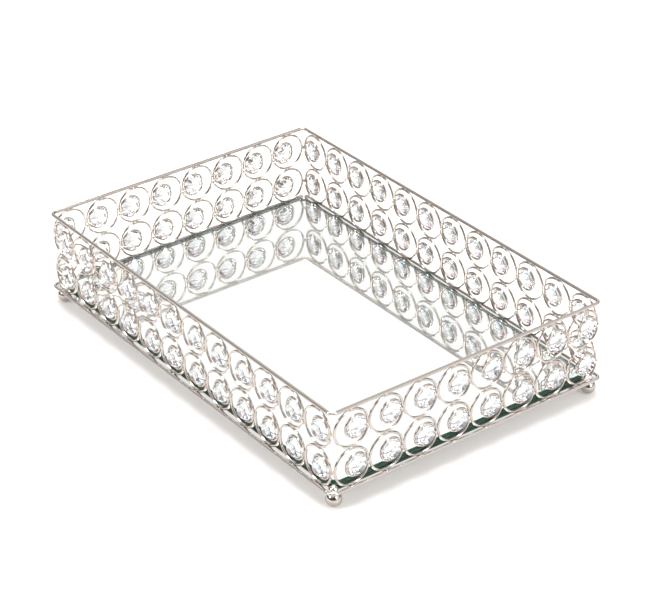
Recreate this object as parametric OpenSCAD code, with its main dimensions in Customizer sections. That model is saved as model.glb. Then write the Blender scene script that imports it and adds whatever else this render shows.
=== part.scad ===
// Open mirrored vanity tray: a mirror plate on a wire-edged sheet-metal base, walled by two
// rows of wire scrolls that each hold a faceted crystal bead, on four turned ball feet.
// Long walls lie along X. The origin is the middle of the footprint, on the surface below.

/* [Scroll walls] */
// Scrolls along each long wall
long_count = 12; // [6:1:16]
// Scrolls along each short wall
short_count = 8; // [4:1:12]
// Outer diameter of one scroll
scroll_d = 26.2; // [20:0.1:32]
// Diameter of the wire that the scrolls are bent from
scroll_wire_d = 1.6; // [1.2:0.01:2.2]
// Outer diameter of the scroll's inner eye
eye_d = 16.4; // [13.5:0.1:18]
// Clear space between turns of the wire that run side by side
coil_gap = 0.1; // [0.05:0.05:0.4]
// Solder-filled space between neighbouring scrolls
solder_gap = 0.2; // [0.1:0.05:1]
// Solder-filled space between the two rows
row_gap = 0.1; // [0.05:0.05:1.5]
// Solder-filled space above and below a wall
seat_gap = 0.1; // [0.05:0.05:1]
// Space between an end scroll and the corner of the walls
corner_gap = 1.2; // [0.8:0.1:3]

/* [Crystal beads] */
// Overlap of a bead's edge on the eye's wire
bead_lap = 0.4; // [0.2:0.05:0.7]
// Width of the bead's flat edge
girdle_h = 0.8; // [0.4:0.1:1.5]
// Height of the bead's slope on each face
crown_h = 2.8; // [1.5:0.1:4]
// Width of the flat table on each face, across flats
table_w = 7; // [4:0.1:9]
// Distance from a bead's corner in to where the slope above that corner starts
corner_cut = 0.2; // [0.1:0.05:0.6]
// Diameter of the pin through a bead
pin_d = 0.7; // [0.4:0.05:1]
// Clearance between the pin and what it passes
pin_fit = 0.05; // [0.02:0.01:0.1]
// Distance by which a pin runs past the middle of the wire that it lies on
pin_end = 0.5; // [0.3:0.1:0.8]
// Diameter of the drop of solder that holds a pin's end
drop_d = 1.3; // [1.1:0.05:1.5]

/* [Rim] */
// Diameter of the wire along the top
rim_wire_d = 2.4; // [1.6:0.1:4]
// Bend radius of the rim wire's middle at the corners
rim_bend_r = 3.5; // [2.5:0.1:8]

/* [Base] */
// Thickness of the base sheet
base_t = 1; // [0.6:0.1:2]
// Diameter of the wire round the base sheet
edge_wire_d = 2.2; // [1.6:0.1:3.5]
// Distance from the wall's plane out to the edge wire
edge_in = 0.7; // [0.5:0.1:2]
// Height by which the edge wire stands above the base sheet
edge_rise = 0.9; // [0:0.1:0.9]
// Bend radius of the edge wire's middle at the corners
edge_bend_r = 4; // [3:0.1:8]
// Depth to which the base sheet's edge is let into the edge wire
edge_lap = 0.2; // [0.1:0.05:0.3]

/* [Mirror] */
// Thickness of the mirror glass
glass_t = 3; // [1.5:0.1:5]
// Distance from the wall's plane in to the glass
glass_in = 4.6; // [3.5:0.1:8]
// Leg of the clipped corners of the glass, which clear the screw heads
glass_clip = 4; // [3.5:0.1:12]
// Ground bevel along the edges of the glass
glass_arris = 0.3; // [0.1:0.05:0.6]
// Thickness of the silver layer below the glass
silver_t = 0.03; // [0.02:0.01:0.2]
// Thickness of the protective film below the silver
film_t = 0.07; // [0.05:0.01:0.5]
// Thickness of the tape that holds the mirror
tape_t = 0.1; // [0.1:0.05:1]
// Width of a strip of tape
tape_w = 12; // [6:1:25]
// Distance from the glass's edge in to the tape
tape_in = 10; // [4:1:20]
// Strips of tape across the mirror
tape_count = 4; // [2:1:6]

/* [Feet] */
// Diameter of a ball foot
ball_d = 10; // [7:0.1:16]
// Diameter of the flat that a ball stands on
ball_flat_d = 2; // [1:0.1:4]
// Diameter of the neck between ball and base
neck_d = 5; // [4:0.1:6]
// Height of the neck
neck_h = 1.5; // [0.5:0.1:6]
// Distance from the wall's plane in to a foot's axis
foot_in = 3.6; // [3:0.1:8]
// Diameter of the foot screw's shank
screw_d = 3; // [2:0.1:3.5]
// Diameter of the screw's domed head
head_d = 6; // [4.5:0.1:7]
// Height of the domed head
head_h = 2.2; // [1:0.1:2.8]
// Radial clearance of the shank in the base sheet
screw_clear = 0.15; // [0.05:0.05:0.4]
// Radial clearance of the shank in the foot
thread_fit = 0.03; // [0.01:0.01:0.1]
// Depth of the foot's bore below the top of its neck
bore_depth = 8; // [4:0.1:9]
// Space left below the end of the shank
bore_end = 0.5; // [0.2:0.1:2]

/* [Hidden] */
SIDES = ["front", "right", "back", "left"];
ROWS = ["lower", "upper"];
CORNERS = ["front_right", "back_right", "back_left", "front_left"];

// Facets of a full circle: wires, solder, wire paths, and larger turned shapes
wire_fn = 24;
solder_fn = 96;
path_fn = 96;
round_fn = 64;
// Small extra length of a cut, so that it passes right through
past = 1;
// Step to which the walls' places are rounded, so that straight wires and bends meet exactly
size_step = 0.001;

function whole(size) = round(size / size_step) * size_step;

// Scroll: the outer turn, the turn inward and the eye are arcs that run on from each other
wire_r = scroll_wire_d / 2;
ring_r = scroll_d / 2 - wire_r;
eye_r = eye_d / 2 - wire_r;
turn_r = (ring_r + eye_r) / 2;
turn_off = (ring_r - eye_r) / 2;
beside = scroll_wire_d + coil_gap;
eye_x = ring_r - eye_r - beside;
turn_angle = acos(eye_x / (2 * turn_off));
turn_z = turn_off * sin(turn_angle);
// Directions in which the outer turn starts and the eye ends, each beside the turn inward
ring_start = turn_angle - acos((pow(ring_r, 2) + pow(turn_off, 2) - pow(turn_r + beside, 2))
    / (2 * ring_r * turn_off));
eye_end = 180 - turn_angle - acos((pow(eye_r, 2) + pow(turn_off, 2) - pow(turn_r - beside, 2))
    / (2 * eye_r * turn_off));
// How far the middle of the wire reaches to the scroll's right, on the inward turn
right_reach = eye_x / 2 + sqrt(pow(turn_r, 2) - pow(turn_z, 2));
// Angle by which arcs of one wire run into each other, and the step between their surfaces
arc_lap = 2;
arc_step = 0.02;

// Layout of the walls: a scroll reaches less far to its right, so it sits right of its place
pitch = ring_r + right_reach + scroll_wire_d + solder_gap;
scroll_shift = (ring_r - right_reach) / 2;
row_count = len(ROWS);
row_pitch = scroll_d + row_gap;
half_length = whole((long_count * pitch - solder_gap) / 2 + corner_gap);
half_width = whole((short_count * pitch - solder_gap) / 2 + corner_gap);

// Beads
bead_sides = 8;
bead_turn = 360 / bead_sides;
bead_r = eye_r - wire_r + bead_lap;
bead_flat_r = bead_r * cos(bead_turn / 2);
bead_half_h = girdle_h / 2 + crown_h;
// Tilt of a slope, and its distance from the bead's middle: over a flat, and over a corner
flat_tilt = atan2(crown_h, bead_flat_r - table_w / 2);
flat_out = bead_flat_r * sin(flat_tilt) + girdle_h / 2 * cos(flat_tilt);
corner_r = bead_r - corner_cut;
corner_tilt = atan2(crown_h, corner_r - table_w / 2);
corner_out = corner_r * sin(corner_tilt) + girdle_h / 2 * cos(corner_tilt);
pin_r = pin_d / 2;
bead_out = wire_r + pin_r + pin_fit;
pin_right = right_reach - eye_x;

// Heights
ball_r = ball_d / 2;
ball_z = sqrt(pow(ball_r, 2) - pow(ball_flat_d / 2, 2));
neck_z = ball_z + sqrt(pow(ball_r, 2) - pow(neck_d / 2, 2));
base_z = neck_z + neck_h;
top_z = base_z + base_t;
edge_r = edge_wire_d / 2;
edge_out = edge_in + edge_r;
edge_z = top_z + edge_rise - edge_r;
wall_z = top_z + seat_gap;
rim_r = rim_wire_d / 2;
rim_z = wall_z + row_count * row_pitch - row_gap + seat_gap + rim_r;
film_z = top_z + tape_t;
silver_z = film_z + film_t;
glass_z = silver_z + silver_t;

// Solder: the share of the wire's width that a joint takes up
solder_share = 0.85;
solder_d = solder_share * scroll_wire_d;

function side_count(side) = side % 2 == 0 ? long_count : short_count;
function wall_out(side) = side % 2 == 0 ? half_width : half_length;
function scroll_u(side, index) = (index - (side_count(side) - 1) / 2) * pitch + scroll_shift;
function row_z(row) = wall_z + scroll_d / 2 + row * row_pitch;

// Moves children from a wall's own frame, X to the right seen from outside and -Y outward
module on_wall(side) {
    rotate([0, 0, 90 * side]) translate([0, -wall_out(side), 0]) children();
}

// Repeats children at the middle of every scroll of one row
module at_scrolls(side, row) {
    on_wall(side)
        for (index = [0 : side_count(side) - 1])
            translate([scroll_u(side, index), 0, row_z(row)]) children();
}

// Part of a ring of round wire in the XZ plane, from one direction to another
module wire_arc(path_r, section_r, from, to) {
    rotate([90, 0, 0]) rotate_extrude(start = from, angle = to - from, $fn = path_fn)
        translate([path_r, 0]) circle(r = section_r, $fn = wire_fn);
}

// Closed rounded rectangle of round wire, lying flat
module wire_frame(half_x, half_y, bend_r, section_r) {
    for (turn = [0 : 3])
        rotate([0, 0, 90 * turn]) {
            along = turn % 2 == 0 ? half_x : half_y;
            across = turn % 2 == 0 ? half_y : half_x;
            translate([bend_r - along, -across, 0]) rotate([0, 90, 0])
                cylinder(r = section_r, h = 2 * (along - bend_r), $fn = wire_fn);
            translate([along - bend_r, bend_r - across, 0])
                rotate_extrude(start = -90, angle = 90, $fn = path_fn)
                    translate([bend_r, 0]) circle(r = section_r, $fn = wire_fn);
        }
}

// Flat rectangle with round corners
module round_rectangle(half_x, half_y, corner_r) {
    square([2 * half_x, 2 * (half_y - corner_r)], center = true);
    square([2 * (half_x - corner_r), 2 * half_y], center = true);
    for (x = [-1, 1], y = [-1, 1])
        translate([x * (half_x - corner_r), y * (half_y - corner_r)])
            circle(r = corner_r, $fn = round_fn);
}

// Outline of the glass, smaller by inset all round, with its corners clipped
module glass_outline(inset) {
    half_x = half_length - glass_in - inset;
    half_y = half_width - glass_in - inset;
    // A clipped corner moves in by the same distance, so its leg shrinks less
    leg = glass_clip - inset * (2 - sqrt(2));
    polygon([
        for (corner = [[1, 1], [-1, 1], [-1, -1], [1, -1]], step = [0, 1])
            let (across = corner[0] * corner[1] > 0 ? 1 - step : step)
            [corner[0] * (half_x - (1 - across) * leg), corner[1] * (half_y - across * leg)]
    ]);
}

module at_foot(corner) {
    x = corner < 2 ? 1 : -1;
    y = corner == 0 || corner == 3 ? -1 : 1;
    translate([x * (half_length - foot_in), y * (half_width - foot_in), 0]) children();
}

// Short round column of solder along X between two wires that run along Z, middle to middle
module solder_between_wires(distance, left_r, right_r) {
    difference() {
        translate([-distance / 2, 0, 0]) rotate([0, 90, 0])
            cylinder(d = solder_d, h = distance, $fn = solder_fn);
        translate([-distance / 2, 0, -solder_d])
            cylinder(r = left_r, h = 2 * solder_d, $fn = solder_fn);
        translate([distance / 2, 0, -solder_d])
            cylinder(r = right_r, h = 2 * solder_d, $fn = solder_fn);
    }
}

module base_plate() {
    reach = edge_in + edge_lap;
    outline_r = edge_bend_r - edge_r + edge_lap;
    color("silver") difference() {
        translate([0, 0, base_z]) linear_extrude(base_t)
            round_rectangle(half_length + reach, half_width + reach, outline_r);
        edge_wire();
        for (corner = [0 : 3])
            at_foot(corner) translate([0, 0, base_z - past])
                cylinder(r = screw_d / 2 + screw_clear, h = base_t + 2 * past, $fn = round_fn);
    }
}

module edge_wire() {
    color("gainsboro") translate([0, 0, edge_z])
        wire_frame(half_length + edge_out, half_width + edge_out, edge_bend_r, edge_r);
}

module rim_wire() {
    color("gainsboro") translate([0, 0, rim_z])
        wire_frame(half_length, half_width, rim_bend_r, rim_r);
}

module mirror_glass() {
    color("palegreen", 0.5) {
        translate([0, 0, glass_z]) linear_extrude(glass_t) glass_outline(glass_arris);
        translate([0, 0, glass_z + glass_arris])
            linear_extrude(glass_t - 2 * glass_arris) glass_outline(0);
    }
}

module mirror_silver() {
    color("white") translate([0, 0, silver_z]) linear_extrude(silver_t) glass_outline(glass_arris);
}

module mirror_film() {
    color("dimgray") translate([0, 0, film_z]) linear_extrude(film_t) glass_outline(glass_arris);
}

module mirror_tape() {
    span = half_length - glass_in - tape_in - tape_w / 2;
    strip = 2 * (half_width - glass_in - tape_in);
    color("white") for (index = [0 : tape_count - 1])
        translate([span * (2 * index / (tape_count - 1) - 1), 0, top_z + tape_t / 2])
            cube([tape_w, strip, tape_t], center = true);
}

// Turned ball with a neck and a blind bore for the screw
module foot(corner) {
    color("silver") at_foot(corner) difference() {
        union() {
            intersection() {
                translate([0, 0, ball_z]) sphere(r = ball_r, $fn = round_fn);
                cylinder(r = ball_r + past, h = neck_z, $fn = round_fn);
            }
            translate([0, 0, ball_z]) cylinder(d = neck_d, h = base_z - ball_z, $fn = round_fn);
        }
        translate([0, 0, base_z - bore_depth])
            cylinder(r = screw_d / 2 + thread_fit, h = bore_depth + past, $fn = round_fn);
    }
}

// Screw with a smooth domed head, which stands on the base sheet
module foot_screw(corner) {
    dome_r = (pow(head_d / 2, 2) + pow(head_h, 2)) / (2 * head_h);
    shank_h = base_t + bore_depth - bore_end;
    color("whitesmoke") at_foot(corner) {
        intersection() {
            translate([0, 0, top_z + head_h - dome_r]) sphere(r = dome_r, $fn = round_fn);
            translate([0, 0, top_z]) cylinder(d = head_d + past, h = head_h + past, $fn = round_fn);
        }
        translate([0, 0, top_z - shank_h])
            cylinder(d = screw_d, h = shank_h + head_h / 2, $fn = round_fn);
    }
}

// One scroll in the XZ plane: its wire starts beside the eye, runs round by the left and
// over the top, turns inward at the right and closes round the eye
module scroll() {
    wire_arc(ring_r, wire_r, turn_angle, 360 + ring_start);
    translate([eye_x / 2, 0, turn_z])
        wire_arc(turn_r, wire_r - arc_step, -turn_angle - arc_lap, turn_angle + arc_lap);
    translate([eye_x, 0, 0]) wire_arc(eye_r, wire_r, eye_end, 360 - turn_angle);
}

module scrolls(side, row) {
    color("silver") at_scrolls(side, row) scroll();
}

// Eight-sided crystal with a slope over each flat, one over each corner and a table on both
// faces, drilled from side to side
module bead() {
    translate([eye_x, -bead_out, 0]) difference() {
        rotate([90, 0, 0]) intersection() {
            rotate([0, 0, bead_turn / 2])
                cylinder(r = bead_r, h = 2 * bead_half_h, center = true, $fn = bead_sides);
            intersection_for (step = [0 : bead_sides - 1]) {
                slopes(step * bead_turn, flat_tilt, flat_out);
            }
            intersection_for (step = [0 : bead_sides - 1]) {
                slopes((step + 0.5) * bead_turn, corner_tilt, corner_out);
            }
        }
        rotate([0, 90, 0])
            cylinder(r = pin_r + pin_fit, h = 2 * bead_r + past, center = true, $fn = wire_fn);
    }
}

// Slab whose sides are one slope and the one opposite it on the other face
module slopes(direction, tilt, out) {
    rotate([0, tilt, direction]) cube([4 * bead_r, 4 * bead_r, 2 * out], center = true);
}

module beads(side, row) {
    color("azure") at_scrolls(side, row) bead();
}

// Pin through the bead that lies on the scroll's outer face and is soldered there at both ends
module bead_pin() {
    translate([eye_x, 0, 0]) difference() {
        union() {
            translate([-eye_r - pin_end, -bead_out, 0]) rotate([0, 90, 0])
                cylinder(r = pin_r, h = eye_r + pin_right + 2 * pin_end, $fn = wire_fn);
            for (x = [-eye_r, pin_right])
                translate([x, -bead_out, 0]) sphere(d = drop_d, $fn = round_fn);
        }
        wire_arc(eye_r, wire_r, 90, 270);
        translate([-eye_x / 2, 0, turn_z]) wire_arc(turn_r, wire_r, -turn_angle, turn_angle);
    }
}

module bead_pins(side, row) {
    color("lightgray") at_scrolls(side, row) bead_pin();
}

// Joins the lower scrolls to the base sheet
module solder_base() {
    color("lightgray") for (side = [0 : 3]) at_scrolls(side, 0)
        translate([0, 0, -ring_r]) difference() {
            translate([0, 0, -wire_r - seat_gap])
                cylinder(d = solder_d, h = wire_r + seat_gap, $fn = solder_fn);
            rotate([0, 90, 0])
                cylinder(r = wire_r, h = 2 * solder_d, center = true, $fn = solder_fn);
        }
}

// Joins each upper scroll to the one below it
module solder_rows() {
    color("lightgray") for (side = [0 : 3]) at_scrolls(side, 1)
        translate([0, 0, -row_pitch / 2]) rotate([0, -90, 0])
            solder_between_wires(row_pitch - 2 * ring_r, wire_r, wire_r);
}

// Joins neighbouring scrolls in a row
module solder_sides() {
    distance = pitch - right_reach - ring_r;
    color("lightgray") for (side = [0 : 3], row = [0 : row_count - 1]) on_wall(side)
        for (index = [0 : side_count(side) - 2])
            translate([scroll_u(side, index) + right_reach + distance / 2, 0, row_z(row)])
                solder_between_wires(distance, wire_r, wire_r);
}

// Joins the upper scrolls to the rim
module solder_rim() {
    color("lightgray") for (side = [0 : 3]) at_scrolls(side, 1)
        translate([0, 0, (ring_r + rim_z - row_z(1)) / 2]) rotate([0, -90, 0])
            solder_between_wires(rim_z - row_z(1) - ring_r, wire_r, rim_r);
}

// Joins the end scrolls of two walls, corner by corner
module solder_corners() {
    for (side = [0 : 3], row = [0 : row_count - 1]) {
        // The right end of this wall and the left end of the next, from the corner of the walls
        right_end = wall_out(side + 1) - scroll_u(side, side_count(side) - 1) - right_reach;
        left_end = wall_out(side) + scroll_u(side + 1, 0) - ring_r;
        color("lightgray") on_wall(side)
            translate([wall_out(side + 1) - right_end / 2, left_end / 2, row_z(row)])
                rotate([0, 0, atan2(left_end, right_end)])
                    solder_between_wires(norm([right_end, left_end]), wire_r, wire_r);
    }
}

base_plate();
edge_wire();
rim_wire();
mirror_glass();
mirror_silver();
mirror_film();
mirror_tape();
for (corner = [0 : 3]) {
    foot(corner);
    foot_screw(corner);
}
for (side = [0 : 3], row = [0 : row_count - 1]) {
    place = str(SIDES[side], "_", ROWS[row]);
    scrolls(side, row);
    beads(side, row);
    bead_pins(side, row);
}
solder_base();
solder_rows();
solder_sides();
solder_rim();
solder_corners();
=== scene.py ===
import math

import bpy
import numpy as np
from mathutils import Matrix, Vector


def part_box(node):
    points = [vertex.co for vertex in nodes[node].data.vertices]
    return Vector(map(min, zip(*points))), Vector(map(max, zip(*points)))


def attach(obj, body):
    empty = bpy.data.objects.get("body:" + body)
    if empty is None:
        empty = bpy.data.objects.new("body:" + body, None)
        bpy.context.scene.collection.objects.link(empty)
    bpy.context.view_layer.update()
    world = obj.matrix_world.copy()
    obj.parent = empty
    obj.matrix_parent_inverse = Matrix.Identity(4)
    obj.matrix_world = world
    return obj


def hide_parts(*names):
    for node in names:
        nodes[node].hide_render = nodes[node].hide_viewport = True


MM = 0.001
SEED = 20261

# Sizes of the scroll walls, as built: metres
WALL_X, WALL_Y = 153.342 * MM, 102.595 * MM
LONG_COUNT, SHORT_COUNT = 12, 8
SCROLL_D, EYE_D, WIRE_R = 26.2 * MM, 16.4 * MM, 0.8 * MM
COIL_GAP, SOLDER_GAP, ROW_GAP = 0.1 * MM, 0.2 * MM, 0.1 * MM
# Middle of the wire in a scroll's outer turn and its eye, and the place of the eye
RING_R, EYE_R = SCROLL_D / 2 - WIRE_R, EYE_D / 2 - WIRE_R
BESIDE = 2 * WIRE_R + COIL_GAP
EYE_X = RING_R - EYE_R - BESIDE
# How far the middle of a scroll's wire reaches to its right
RIGHT_REACH = EYE_X / 2 + math.sqrt(RING_R * EYE_R + (EYE_X / 2) ** 2)
PITCH, ROW_PITCH = RING_R + RIGHT_REACH + 2 * WIRE_R + SOLDER_GAP, SCROLL_D + ROW_GAP
SHIFT = (RING_R - RIGHT_REACH) / 2
# The mirror glass: clipped corner, ground bevel, and the air left above the silver
GLASS_CLIP, ARRIS, AIR = 4 * MM, 0.3 * MM, 0.012 * MM
SIDES = ["front", "right", "back", "left"]
ROWS = ["lower", "upper"]


# ---------------------------------------------------------------- node helpers


class Tree:
    """A short way to add nodes to a material or a group."""

    def __init__(self, tree):
        self.tree = tree

    def add(self, kind, inputs=None, **settings):
        node = self.tree.nodes.new(kind)
        for key, value in settings.items():
            setattr(node, key, value)
        for key, value in (inputs or {}).items():
            self.put(node.inputs[key], value)
        return node

    def put(self, socket, value):
        if isinstance(value, bpy.types.NodeSocket):
            self.tree.links.new(value, socket)
        else:
            socket.default_value = value

    def noise(self, vector, scale, detail=2.0, rough=0.5):
        node = self.add(
            "ShaderNodeTexNoise",
            {"Vector": vector, "Scale": scale, "Detail": detail, "Roughness": rough},
        )
        return node.outputs["Fac"]

    def span(self, value, low, high, to_low=0.0, to_high=1.0):
        node = self.add(
            "ShaderNodeMapRange",
            {
                "Value": value,
                "From Min": low,
                "From Max": high,
                "To Min": to_low,
                "To Max": to_high,
            },
        )
        return node.outputs["Result"]

    def math(self, operation, a, b=0.0):
        node = self.add("ShaderNodeMath", operation=operation)
        self.put(node.inputs[0], a)
        self.put(node.inputs[1], b)
        return node.outputs[0]

    def mix(self, factor, a, b):
        node = self.add("ShaderNodeMix", data_type="RGBA")
        self.put(node.inputs["Factor"], factor)
        self.put(node.inputs["A"], a)
        self.put(node.inputs["B"], b)
        return node.outputs["Result"]


def new_group(name, inputs, outputs):
    """An empty node group with the given sockets, as (group, Tree, input node, output node)."""
    group = bpy.data.node_groups.new(name, "ShaderNodeTree")
    for label, kind, value in inputs:
        socket = group.interface.new_socket(label, in_out="INPUT", socket_type=kind)
        if value is not None:
            socket.default_value = value
    for label, kind in outputs:
        group.interface.new_socket(label, in_out="OUTPUT", socket_type=kind)
    tree = Tree(group)
    return group, tree, tree.add("NodeGroupInput"), tree.add("NodeGroupOutput")


def plating_group():
    """Thin, slightly uneven bright plating: colour drifts, haze, fine waves and specks."""
    group, t, source, target = new_group(
        "plating",
        [
            ("Vector", "NodeSocketVector", None),
            ("Color", "NodeSocketColor", (0.8, 0.8, 0.8, 1)),
            ("Tarnish", "NodeSocketColor", (0.6, 0.5, 0.4, 1)),
            ("Amount", "NodeSocketFloat", 0.4),
            ("Polish", "NodeSocketFloat", 0.06),
        ],
        [
            ("Color", "NodeSocketColor"),
            ("Roughness", "NodeSocketFloat"),
            ("Height", "NodeSocketFloat"),
        ],
    )
    place = source.outputs["Vector"]
    drift = t.noise(place, 90.0, 3.0)
    haze = t.noise(place, 420.0, 4.0, 0.6)
    waves = t.noise(place, 700.0, 1.0)
    specks = t.span(t.noise(place, 2600.0, 2.0, 0.7), 0.66, 0.78)
    patch = t.math("MULTIPLY", t.span(drift, 0.42, 0.72), source.outputs["Amount"])
    worn = t.math("ADD", patch, t.math("MULTIPLY", specks, 0.25))
    t.put(
        target.inputs["Color"],
        t.mix(worn, source.outputs["Color"], source.outputs["Tarnish"]),
    )
    dull = t.math("ADD", t.span(haze, 0.35, 0.75, 0.0, 0.06), t.math("MULTIPLY", specks, 0.1))
    t.put(target.inputs["Roughness"], t.math("ADD", source.outputs["Polish"], dull))
    t.put(target.inputs["Height"], t.math("ADD", waves, t.math("MULTIPLY", specks, -0.2)))
    return group


def glass_marks_group():
    """Faint smudges and dust on glass, as a roughness and a height."""
    group, t, source, target = new_group(
        "glass_marks",
        [("Vector", "NodeSocketVector", None), ("Scale", "NodeSocketFloat", 60.0)],
        [("Roughness", "NodeSocketFloat"), ("Height", "NodeSocketFloat")],
    )
    place = source.outputs["Vector"]
    smear = t.add(
        "ShaderNodeTexNoise",
        {"Vector": place, "Scale": source.outputs["Scale"], "Detail": 5.0, "Distortion": 1.4},
    ).outputs["Fac"]
    dust = t.span(t.noise(place, 3000.0, 1.0), 0.74, 0.8)
    film = t.span(smear, 0.56, 0.8, 0.0, 0.025)
    t.put(target.inputs["Roughness"], t.math("ADD", film, t.math("MULTIPLY", dust, 0.12)))
    t.put(target.inputs["Height"], smear)
    return group


def base_material(name):
    material = bpy.data.materials.new(name)
    material.use_nodes = True
    t = Tree(material.node_tree)
    shader = material.node_tree.nodes["Principled BSDF"]
    place = t.add("ShaderNodeTexCoord").outputs["Object"]
    return material, t, shader, place


def plated(name, color, tarnish, amount, polish, bump):
    """Bright nickel plating over steel or solder."""
    material, t, shader, place = base_material(name)
    use = t.add("ShaderNodeGroup", node_tree=PLATING)
    for key, value in {
        "Vector": place,
        "Color": (*color, 1),
        "Tarnish": (*tarnish, 1),
        "Amount": amount,
        "Polish": polish,
    }.items():
        t.put(use.inputs[key], value)
    t.put(shader.inputs["Base Color"], use.outputs["Color"])
    t.put(shader.inputs["Roughness"], use.outputs["Roughness"])
    shader.inputs["Metallic"].default_value = 1.0
    relief = t.add(
        "ShaderNodeBump",
        {"Strength": bump, "Distance": 0.00005, "Height": use.outputs["Height"]},
    )
    t.put(shader.inputs["Normal"], relief.outputs["Normal"])
    return material


def clear(name, color, index, scale, bump, film=None, inside=None):
    """Clear glass or crystal with faint marks on its surface.

    film is (thickness in nanometres, index) of a clear film on it, and inside is (colour,
    density) of the tint in its depth.
    """
    material, t, shader, place = base_material(name)
    use = t.add("ShaderNodeGroup", {"Vector": place, "Scale": scale}, node_tree=GLASS_MARKS)
    t.put(shader.inputs["Roughness"], use.outputs["Roughness"])
    tint = t.span(t.noise(place, scale * 2, 2.0), 0.3, 0.7)
    soft = tuple(1 - (1 - c) * 1.35 for c in color)
    t.put(shader.inputs["Base Color"], t.mix(tint, (*color, 1), (*soft, 1)))
    shader.inputs["Transmission Weight"].default_value = 1.0
    shader.inputs["IOR"].default_value = index
    if film:
        shader.inputs["Thin Film Thickness"].default_value = film[0]
        shader.inputs["Thin Film IOR"].default_value = film[1]
    relief = t.add(
        "ShaderNodeBump",
        {"Strength": bump, "Distance": 0.00003, "Height": use.outputs["Height"]},
    )
    t.put(shader.inputs["Normal"], relief.outputs["Normal"])
    if inside:
        depth = t.add("ShaderNodeVolumeAbsorption")
        depth.inputs["Color"].default_value = (*inside[0], 1)
        depth.inputs["Density"].default_value = inside[1]
        output = material.node_tree.nodes["Material Output"]
        t.put(output.inputs["Volume"], depth.outputs["Volume"])
    return material


def ground_edge(name):
    """The ground edge of float glass, where light from its whole width comes out deep green."""
    material, t, shader, place = base_material(name)
    along = t.add("ShaderNodeMapping", {"Vector": place, "Scale": (1, 1, 14)}).outputs[0]
    streak = t.noise(along, 120.0, 4.0, 0.6)
    deep, pale = (0.012, 0.055, 0.040, 1), (0.045, 0.150, 0.105, 1)
    t.put(shader.inputs["Base Color"], t.mix(t.span(streak, 0.36, 0.66), deep, pale))
    t.put(shader.inputs["Roughness"], t.span(streak, 0.3, 0.7, 0.16, 0.30))
    shader.inputs["IOR"].default_value = 1.52
    relief = t.add("ShaderNodeBump", {"Strength": 0.1, "Distance": 0.00005, "Height": streak})
    t.put(shader.inputs["Normal"], relief.outputs["Normal"])
    return material


def silvering(name):
    """The silver behind the glass, with faint clouding."""
    material, t, shader, place = base_material(name)
    cloud = t.span(t.noise(place, 30.0, 4.0, 0.6), 0.4, 0.8)
    t.put(shader.inputs["Base Color"], t.mix(cloud, (0.955, 0.955, 0.95, 1), (0.94, 0.945, 0.94, 1)))
    t.put(shader.inputs["Roughness"], t.span(cloud, 0.0, 1.0, 0.0, 0.015))
    shader.inputs["Metallic"].default_value = 0.9
    return material


def dull(name, color, other, scale, roughness, bump):
    """A matt film, tape or table surface."""
    material, t, shader, place = base_material(name)
    grain = t.noise(place, scale, 4.0, 0.6)
    t.put(shader.inputs["Base Color"], t.mix(t.span(grain, 0.3, 0.7), (*color, 1), (*other, 1)))
    t.put(shader.inputs["Roughness"], t.span(grain, 0.2, 0.8, roughness - 0.06, roughness + 0.06))
    relief = t.add("ShaderNodeBump", {"Strength": bump, "Distance": 0.0001, "Height": grain})
    t.put(shader.inputs["Normal"], relief.outputs["Normal"])
    return material


# -------------------------------------------------------------------- geometry


def give(obj, material):
    obj.data.materials.clear()
    obj.data.materials.append(material)


def tube(path, radius, sides):
    """A round wire along an open path.

    At each point of the path, with unit direction t, a ring of points
    p + r (cos(a) n + sin(a) b) is set, where r is the radius there, n is across both t and
    the wall's thickness, and b = t x n. A flat face closes each end.
    """
    step = np.gradient(path, axis=0)
    t = step / np.linalg.norm(step, axis=1, keepdims=True)
    across = np.array([0.0, 1.0, 0.0])
    n = np.cross(across, t)
    n /= np.linalg.norm(n, axis=1, keepdims=True)
    b = np.cross(t, n)
    a = np.arange(sides) * 2 * np.pi / sides
    ring = np.cos(a)[None, :, None] * n[:, None, :] + np.sin(a)[None, :, None] * b[:, None, :]
    points = (path[:, None, :] + radius[:, None, None] * ring).reshape(-1, 3)
    rows = len(path)
    i, k = np.meshgrid(np.arange(rows - 1), np.arange(sides), indexing="ij")
    k2 = (k + 1) % sides
    quads = np.stack([i * sides + k, i * sides + k2, (i + 1) * sides + k2, (i + 1) * sides + k], -1)
    caps = [np.arange(sides)[::-1], (rows - 1) * sides + np.arange(sides)]
    return points, [quads.reshape(-1, 4), *caps]


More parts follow.
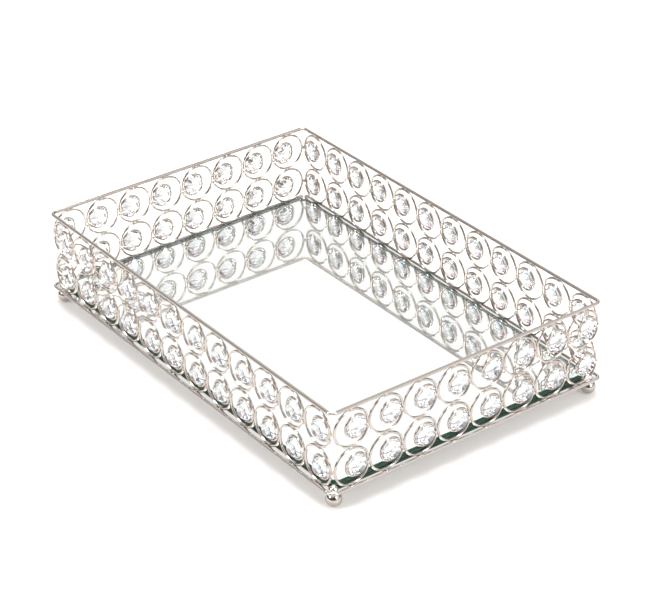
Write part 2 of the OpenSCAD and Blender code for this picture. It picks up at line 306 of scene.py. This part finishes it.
def scroll_path(eye_grow, eye_rise, eye_out, count):
    """The middle of one scroll's wire, in the XZ plane, from its start beside the eye.

    Three arcs run on from each other: the outer turn of radius R about the origin, a turn of
    radius (R + r) / 2 whose middle lies (R - r) / 2 from both others, and the eye of radius r.
    The eye may be a little larger, higher and out of plane, which the turn inward takes up.
    About count points are spread along the wire, by the lengths of the three arcs.
    """
    r = EYE_R * eye_grow
    mid_r, off = (RING_R + r) / 2, (RING_R - r) / 2
    eye_x = RING_R - r - BESIDE
    lean = math.acos(eye_x / (2 * off))
    mid_z = off * math.sin(lean)
    start = lean - math.acos(
        (RING_R**2 + off**2 - (mid_r + BESIDE) ** 2) / (2 * RING_R * off)
    )
    end = math.pi - lean - math.acos((r**2 + off**2 - (mid_r - BESIDE) ** 2) / (2 * r * off))

    def arc(x, z, radius, a, b, share):
        s = np.linspace(a, b, int(count * share))
        return np.stack([x + radius * np.cos(s), np.zeros(len(s)), z + radius * np.sin(s)], 1)

    full = 2 * math.pi
    outer = arc(0, 0, RING_R, start + full, lean, 0.5)[:-1]
    inward = arc(eye_x / 2, mid_z, mid_r, lean, -lean, 0.18)[:-1]
    eye = arc(eye_x, 0, r, -lean, end - full, 0.32)
    path = np.concatenate([outer, inward, eye])
    # How far along the wire the inner part has come, from 0 on the outer turn to 1 on the eye
    into = np.clip((np.arange(len(path)) - len(outer)) / len(inward), 0, 1)
    into = into * into * (3 - 2 * into)
    path[:, 2] += eye_rise * into
    path[:, 1] += eye_out * into
    return path


def wall_matrix(side):
    """From a wall's own frame, +X to the right seen from outside and -Y outward, to the tray's."""
    out = WALL_Y if side % 2 == 0 else WALL_X
    return Matrix.Rotation(math.radians(90 * side), 4, "Z") @ Matrix.Translation((0, -out, 0))


def moved(points, matrix):
    """The points as rows, turned and shifted by a 4 x 4 matrix."""
    m = np.array(matrix)
    return points @ m[:3, :3].T + m[:3, 3]


def wall_spots(side, bottom):
    """Places along a wall of its scrolls' middles, and the heights of the two rows."""
    count = LONG_COUNT if side % 2 == 0 else SHORT_COUNT
    u = (np.arange(count) - (count - 1) / 2) * PITCH + SHIFT
    low = bottom + SCROLL_D / 2
    return u, low, low + ROW_PITCH


class Pile:
    """Meshes gathered into one."""

    def __init__(self):
        self.points, self.loops, self.sizes, self.count = [], [], [], 0

    def put(self, points, faces):
        """faces is a list of arrays, each with one face of any same number of corners a row."""
        self.points.append(points)
        for rows in faces:
            rows = np.atleast_2d(rows)
            self.loops.append(rows.ravel() + self.count)
            self.sizes.append(np.full(len(rows), rows.shape[1]))
        self.count += len(points)

    def build(self, name, smooth=True):
        mesh = bpy.data.meshes.new(name)
        points = np.concatenate(self.points)
        sizes = np.concatenate(self.sizes)
        loops = np.concatenate(self.loops).astype(np.int32)
        mesh.vertices.add(len(points))
        mesh.vertices.foreach_set("co", points.astype(np.float32).ravel())
        mesh.loops.add(len(loops))
        mesh.loops.foreach_set("vertex_index", loops)
        mesh.polygons.add(len(sizes))
        starts = np.concatenate([[0], np.cumsum(sizes)[:-1]]).astype(np.int32)
        mesh.polygons.foreach_set("loop_start", starts)
        mesh.polygons.foreach_set("use_smooth", np.full(len(sizes), smooth))
        mesh.update(calc_edges=True)
        mesh.validate()
        obj = bpy.data.objects.new(name, mesh)
        bpy.context.scene.collection.objects.link(obj)
        return obj


def rounded_ends(path, radius, sides):
    """A tube with half-round ends: end rings at height h have radius r sqrt(1 - h^2)."""
    step_a = (path[0] - path[1]) / np.linalg.norm(path[0] - path[1])
    step_b = (path[-1] - path[-2]) / np.linalg.norm(path[-1] - path[-2])
    rise = np.array([0.35, 0.7, 0.92])
    cap_a = path[0] + step_a * radius * rise[::-1, None]
    cap_b = path[-1] + step_b * radius * rise[:, None]
    shrink = np.sqrt(1 - rise**2)
    whole = np.concatenate([cap_a, path, cap_b])
    radii = np.concatenate([radius * shrink[::-1], np.full(len(path), radius), radius * shrink])
    return tube(whole, radii, sides)


def drop_mesh(rng, size, across, around):
    """A drop of solder: an ellipsoid drawn out along X, with a seeded uneven surface.

    Each point is size * (sin(p)cos(a), sin(p)sin(a), cos(p)) * (1 + w), where w is a sum of
    three low waves with random directions and phases.
    """
    p = np.linspace(0, np.pi, across)[1:-1]
    a = np.arange(around) * 2 * np.pi / around
    pp, aa = np.meshgrid(p, a, indexing="ij")
    unit = np.stack([np.cos(pp), np.sin(pp) * np.cos(aa), np.sin(pp) * np.sin(aa)], -1).reshape(-1, 3)
    unit = np.concatenate([unit, [[1, 0, 0], [-1, 0, 0]]])
    wave = sum(
        0.05 * np.sin(unit @ rng.normal(0, 2.2, 3) + rng.uniform(0, 6.28)) for _ in range(3)
    )
    points = unit * (1 + wave)[:, None] * np.asarray(size)
    rows = across - 2
    i, k = np.meshgrid(np.arange(rows - 1), np.arange(around), indexing="ij")
    k2 = (k + 1) % around
    quads = np.stack([i * around + k, (i + 1) * around + k, (i + 1) * around + k2, i * around + k2], -1)
    top = len(points) - 2
    ring = np.arange(around)
    fan_a = np.stack([np.full(around, top), ring, (ring + 1) % around], -1)
    last = (rows - 1) * around
    fan_b = np.stack([np.full(around, top + 1), last + (ring + 1) % around, last + ring], -1)
    return points, [quads.reshape(-1, 4), fan_a, fan_b]


def slab(half_x, half_y, clip, inset, levels):
    """A plate with clipped corners whose edge follows a profile.

    Level (f, h) has the outline set in by f * inset from the half-sizes, at height h; the
    clipped corner's leg shrinks by (2 - sqrt 2) of the inset, so that it moves in as far.
    """
    rings = []
    for f, h in levels:
        d = f * inset
        x, y, leg = half_x - d, half_y - d, clip - d * (2 - math.sqrt(2))
        upper = np.array([[x, y - leg], [x - leg, y], [leg - x, y], [-x, y - leg]])
        rings.append(np.column_stack([np.concatenate([upper, -upper]), np.full(8, h)]))
    points = np.concatenate(rings)
    i, k = np.meshgrid(np.arange(len(levels) - 1), np.arange(8), indexing="ij")
    k2 = (k + 1) % 8
    quads = np.stack([i * 8 + k, i * 8 + k2, (i + 1) * 8 + k2, (i + 1) * 8 + k], -1).reshape(-1, 4)
    return points, [quads, np.arange(8)[::-1], len(points) - 8 + np.arange(8)]


# ----------------------------------------------------------------------- build

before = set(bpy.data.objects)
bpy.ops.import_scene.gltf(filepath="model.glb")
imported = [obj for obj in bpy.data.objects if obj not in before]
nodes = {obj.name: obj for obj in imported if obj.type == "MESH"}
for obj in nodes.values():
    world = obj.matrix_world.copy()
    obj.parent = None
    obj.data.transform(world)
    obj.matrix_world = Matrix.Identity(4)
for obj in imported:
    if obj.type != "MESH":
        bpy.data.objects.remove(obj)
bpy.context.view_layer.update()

PLATING = plating_group()
GLASS_MARKS = glass_marks_group()

nickel_wire = plated("nickel_wire", (0.64, 0.595, 0.555), (0.62, 0.50, 0.42), 0.45, 0.05, 0.10)
nickel_rim = plated("nickel_rim", (0.62, 0.575, 0.54), (0.66, 0.55, 0.49), 0.35, 0.05, 0.08)
nickel_edge = plated("nickel_edge", (0.66, 0.63, 0.6), (0.68, 0.58, 0.50), 0.30, 0.06, 0.08)
nickel_sheet = plated("nickel_sheet", (0.62, 0.6, 0.575), (0.66, 0.63, 0.58), 0.30, 0.04, 0.06)
nickel_foot = plated("nickel_foot", (0.62, 0.575, 0.53), (0.62, 0.52, 0.44), 0.25, 0.04, 0.05)
nickel_screw = plated("nickel_screw", (0.84, 0.825, 0.8), (0.66, 0.58, 0.50), 0.2, 0.04, 0.05)
nickel_pin = plated("nickel_pin", (0.72, 0.71, 0.70), (0.40, 0.36, 0.34), 0.5, 0.10, 0.1)
solder_metal = plated("solder_metal", (0.68, 0.615, 0.55), (0.55, 0.43, 0.34), 0.55, 0.13, 0.3)
crystal = clear("crystal", (0.985, 0.99, 1.0), 1.56, 220.0, 0.02, film=(380.0, 1.33))
green_depth = ((0.15, 0.72, 0.45), 3.0)
glass = clear("float_glass", (0.995, 1.0, 0.997), 1.52, 18.0, 0.01, inside=green_depth)
glass_edge = ground_edge("glass_edge")
silver = silvering("silver")
film = dull("back_film", (0.30, 0.31, 0.32), (0.26, 0.27, 0.28), 300.0, 0.55, 0.2)
tape = dull("tape", (0.86, 0.86, 0.84), (0.80, 0.80, 0.78), 500.0, 0.6, 0.2)

for name, material in {
    "base_plate": nickel_sheet,
    "edge_wire": nickel_edge,
    "rim_wire": nickel_rim,
    "mirror_glass": glass,
    "mirror_silver": silver,
    "mirror_film": film,
    "mirror_tape": tape,
}.items():
    give(nodes[name], material)
for name, obj in nodes.items():
    if name.startswith("foot_screw"):
        give(obj, nickel_screw)
    elif name.startswith("foot_"):
        give(obj, nickel_foot)
    elif name.startswith("beads_"):
        give(obj, crystal)
    elif name.startswith("bead_pins_"):
        give(obj, nickel_pin)
    elif name.startswith("solder_"):
        give(obj, solder_metal)

wall_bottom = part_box("scrolls_front_lower")[0].z
rng = np.random.default_rng(SEED)
for side in range(4):
    spots, *heights = wall_spots(side, wall_bottom)
    for row, z in enumerate(heights):
        pile = Pile()
        for u in spots:
            path = scroll_path(
                1 + rng.uniform(-0.012, 0.012),
                rng.uniform(-0.12, 0.12) * MM,
                rng.uniform(-0.04, 0.10) * MM,
                116,
            )
            points, faces = rounded_ends(path, WIRE_R, 14)
            pile.put(moved(points + np.array([u, 0, z]), wall_matrix(side)), faces)
        node = f"scrolls_{SIDES[side]}_{ROWS[row]}"
        obj = pile.build("wire_" + node)
        give(obj, nickel_wire)
        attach(obj, "root")
        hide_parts(node)

# The glass, with a hair's breadth of air above the silver so that light finds the silver
low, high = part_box("mirror_glass")
edge = [
    (1, low.z + AIR),
    (0.3, low.z + 0.35 * ARRIS),
    (0, low.z + ARRIS),
    (0, high.z - ARRIS),
    (0.3, high.z - 0.35 * ARRIS),
    (1, high.z),
]
pile = Pile()
pile.put(*slab(high.x, high.y, GLASS_CLIP, ARRIS, edge))
obj = pile.build("mirror_plate_glass", smooth=False)
give(obj, glass)
obj.data.materials.append(glass_edge)
# Its sides are ground, and its two faces are clear
facing = np.empty(len(obj.data.polygons) * 3)
obj.data.polygons.foreach_get("normal", facing)
obj.data.polygons.foreach_set("material_index", (np.abs(facing[2::3]) < 0.9).astype(np.int32))
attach(obj, "root")
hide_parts("mirror_glass")

# Solder: a drop at every joint, drawn out along the wires that it joins
plate_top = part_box("base_plate")[1].z
rim_low, rim_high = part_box("rim_wire")
rim_z = (rim_low.z + rim_high.z) / 2
# A drop's long axis along the wall, or turned upright
LIE = np.eye(3)
STAND = np.array([[0.0, 0, 1], [0, 1, 0], [-1, 0, 0]])
# Points from end to end of a drop, and around it
FINE = ((9, 12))


def put_drops(name, places, size, turn):
    """One drop of that half-size in mm at each place, (side, u, out, z) in a wall's frame."""
    pile = Pile()
    for side, u, out, z in places:
        points, faces = drop_mesh(rng, np.array(size) * rng.uniform(0.88, 1.12, 3) * MM, *FINE)
        pile.put(moved(points @ turn.T + np.array([u, out, z]), wall_matrix(side)), faces)
    obj = pile.build("drops_" + name)
    give(obj, solder_metal)
    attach(obj, "root")
    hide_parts(name)


# The middles of the drops, from a scroll's place: above the base, below the rim, to its right
BASE_RISE, RIM_DROP = 0.25 * MM, 0.3 * MM
mid = (RIGHT_REACH + PITCH - RING_R) / 2
at_base, at_rows, at_rim, at_sides, at_corners = [], [], [], [], []
for side in range(4):
    spots, low_z, high_z = wall_spots(side, wall_bottom)
    at_base += [(side, u, 0, plate_top + BASE_RISE) for u in spots]
    at_rows += [(side, u, 0, (low_z + high_z) / 2) for u in spots]
    at_rim += [(side, u, 0, (high_z + RING_R + rim_z) / 2 - RIM_DROP) for u in spots]
    at_sides += [(side, u + mid, 0, z) for u in spots[:-1] for z in (low_z, high_z)]
    end = (WALL_X if side % 2 == 0 else WALL_Y) - (spots[-1] + RIGHT_REACH)
    at_corners += [(side, spots[-1] + RIGHT_REACH + end / 2, end / 2, z) for z in (low_z, high_z)]
put_drops("solder_base", at_base, (1.5, 0.95, 0.65), LIE)
put_drops("solder_rows", at_rows, (1.9, 0.84, 0.62), LIE)
put_drops("solder_rim", at_rim, (1.5, 0.90, 0.70), LIE)
put_drops("solder_sides", at_sides, (1.9, 0.84, 0.68), STAND)
put_drops("solder_corners", at_corners, (1.4, 1.15, 1.15), STAND)

# -------------------------------------------------------------- floor and light

FLOOR_REACH = 6.0
pile = Pile()
corners = np.array([[-1, -1, 0], [1, -1, 0], [1, 1, 0], [-1, 1, 0]])
pile.put(FLOOR_REACH * corners, [np.arange(4)])
floor = pile.build("floor")
give(floor, dull("floor_paint", (0.90, 0.882, 0.862), (0.895, 0.877, 0.857), 8.0, 0.6, 0.0))
# Painted shade: glossy rays see the floor in a darker colour, standing in for the shade of a studio's
# flags, so polished metal reflects it as a darker card
paint = Tree(floor.data.materials[0].node_tree)
glow = paint.tree.nodes["Principled BSDF"]
plain = glow.inputs["Base Color"].links[0].from_socket
glossy = paint.add("ShaderNodeLightPath").outputs["Is Glossy Ray"]
# painted shade on the floor, seen only in glossy reflections
paint.put(glow.inputs["Base Color"], paint.mix(glossy, plain, (0.58, 0.560, 0.542, 1)))
glow.inputs["Emission Color"].default_value = (1, 0.995, 0.99, 1)
glow.inputs["Emission Strength"].default_value = 0.22

scene = bpy.context.scene
world = bpy.data.worlds.new("studio")
world.use_nodes = True
scene.world = world
w = Tree(world.node_tree)
background = world.node_tree.nodes["Background"]
direction = w.add("ShaderNodeTexCoord").outputs["Generated"]
height = w.add("ShaderNodeSeparateXYZ", {"Vector": direction}).outputs["Z"]
ramp = w.add("ShaderNodeValToRGB", {"Fac": height})
stops = ramp.color_ramp.elements
stops[0].position, stops[0].color = 0.0, (0.20, 0.17, 0.15, 1)
stops[1].position, stops[1].color = 0.44, (0.62, 0.61, 0.60, 1)
for position, color in (
    (0.04, (0.020, 0.016, 0.014, 1)),
    (0.33, (0.024, 0.020, 0.018, 1)),
    (0.38, (0.5, 0.49, 0.48, 1)),
):
    stop = stops.new(position)
    stop.color = color


def towards(aim):
    """How nearly a direction points to aim: their dot product, 1 where they agree."""
    return w.add("ShaderNodeVectorMath", {0: direction, 1: aim}, operation="DOT_PRODUCT").outputs["Value"]


# A dark flag low on one side, a white card that the mirror shows, and a pale one beside it
shade = w.math("MULTIPLY", w.span(towards((0.81, -0.59, 0.0)), 0.45, 0.8), w.span(height, 0.85, 0.6))
sky = w.mix(shade, ramp.outputs["Color"], (0.10, 0.085, 0.08, 1))
sky = w.mix(w.span(towards((-0.695, 0.511, 0.506)), 0.950, 0.972), sky, (1.25, 1.25, 1.25, 1))
sky = w.mix(w.span(towards((0.695, 0.511, 0.506)), 0.84, 0.94), sky, (1.0, 0.985, 0.97, 1))
# Light that comes through crystal or glass sees a more even white
through = w.add("ShaderNodeLightPath").outputs["Is Transmission Ray"]
w.put(background.inputs["Color"], w.mix(w.math("MULTIPLY", through, 0.6), sky, (1.05, 1.05, 1.05, 1)))


def softbox(name, place, aim, width, length, power):
    """A rectangular lamp at a place, facing a point, with its power in watts."""
    data = bpy.data.lights.new(name, "AREA")
    data.shape = "RECTANGLE"
    data.size, data.size_y = width, length
    data.energy = power
    obj = bpy.data.objects.new(name, data)
    obj.location = place
    obj.rotation_mode = "QUATERNION"
    obj.rotation_quaternion = (Vector(aim) - Vector(place)).to_track_quat("-Z", "Y")
    scene.collection.objects.link(obj)


softbox("top_box", (-0.16, 0.13, 1.9), (0, 0, 0), 1.0, 1.0, 40)
softbox("left_box", (-0.35, -1.65, 1.2), (0, 0, 0.05), 0.5, 1.1, 15)
softbox("right_box", (1.9, 0.2, 1.0), (0, 0, 0.05), 0.5, 1.1, 15)

# ---------------------------------------------------------------------- camera

# The point looked at, the direction it is seen from, the camera's roll and its distance
AIM = Vector((-9.8, 17.8, 20)) * MM
AZIMUTH, ELEVATION, ROLL = math.radians(53.66), math.radians(30.37), math.radians(0.874)
DISTANCE = 1.531
back = Vector(
    (
        math.sin(AZIMUTH) * math.cos(ELEVATION),
        -math.cos(AZIMUTH) * math.cos(ELEVATION),
        math.sin(ELEVATION),
    )
)
right = Vector((0, 0, 1)).cross(back).normalized()
up = back.cross(right)
tilt_right = right * math.cos(ROLL) - up * math.sin(ROLL)
tilt_up = back.cross(tilt_right)
camera = bpy.data.objects.new("camera", bpy.data.cameras.new("camera"))
camera.matrix_world = Matrix.Translation(AIM + back * DISTANCE) @ Matrix(
    (
        (tilt_right.x, tilt_up.x, back.x, 0),
        (tilt_right.y, tilt_up.y, back.y, 0),
        (tilt_right.z, tilt_up.z, back.z, 0),
        (0, 0, 0, 1),
    )
)
camera.data.sensor_width = 36
camera.data.lens = 128.6
camera.data.clip_start, camera.data.clip_end = 0.1, 20
scene.collection.objects.link(camera)
scene.camera = camera
scene.view_settings.view_transform = "Standard"
